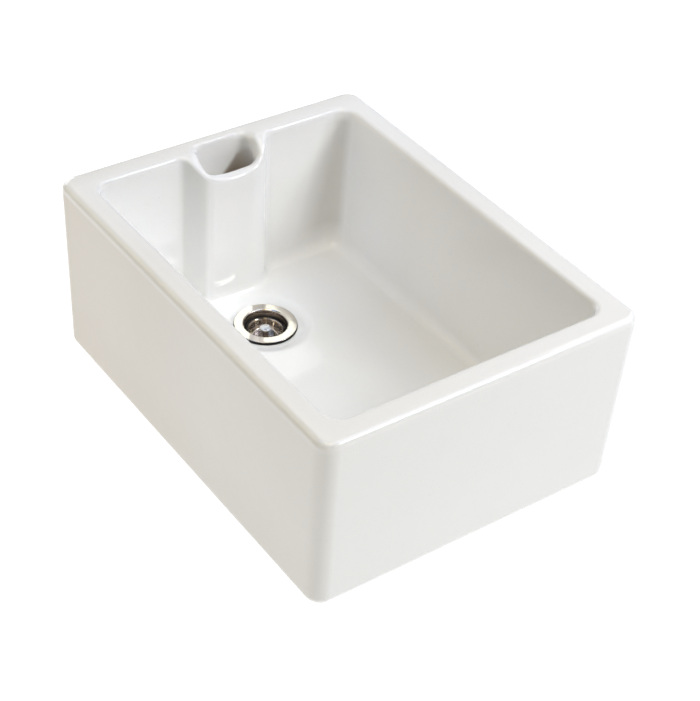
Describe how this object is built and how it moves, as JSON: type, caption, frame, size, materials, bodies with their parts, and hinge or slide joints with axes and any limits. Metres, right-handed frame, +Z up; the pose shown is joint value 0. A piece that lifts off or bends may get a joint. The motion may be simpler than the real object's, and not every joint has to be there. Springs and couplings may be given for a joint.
{
  "type": "apron front sink",
  "caption": "Deep rectangular glazed fireclay sink with a plain apron face, a weir overflow in one short wall, and a flanged strainer waste with a lift-out basket.",
  "frame": {"origin": "centre of the sink's flat underside, on the surface that carries it", "axes": "+Z up; +X along the long side, away from the short wall that holds the weir overflow; -Y is the long apron face"},
  "size_m": [0.595, 0.455, 0.297],
  "materials": {
    "fireclay_glaze": "white gloss glaze",
    "polished_chrome": "mirror polished",
    "black_rubber": "matt black",
    "white_nylon": "natural nylon",
    "brass": "turned",
    "basket_steel": "bright pressed stainless steel",
    "knob_chrome": "mirror polished"
  },
  "bodies": {
    "sink": {"sink_basin": "fireclay_glaze", "waste_body": "polished_chrome", "flange_gasket": "black_rubber", "underside_gasket": "black_rubber", "slip_washer": "white_nylon", "back_nut": "brass", "hub_bush": "white_nylon"},
    "basket_catch": {"detent_ring": "basket_steel"},
    "basket": {"basket_cup": "basket_steel", "basket_rim_seal": "black_rubber", "basket_knob": "knob_chrome", "basket_stem": "basket_steel", "stem_washer": "basket_steel", "stem_nut": "basket_steel"}
  },
  "joints": [
    {"name": "basket_lift", "type": "slide", "parent": "sink", "child": "basket_catch", "axis": [0, 0, 1], "range_m": [0, 0.28]},
    {"name": "basket_spin", "type": "hinge", "parent": "basket_catch", "child": "basket", "pos_m": [-0.1528, 0, 0.02], "axis": [0, 0, 1], "continuous": true}
  ]
}
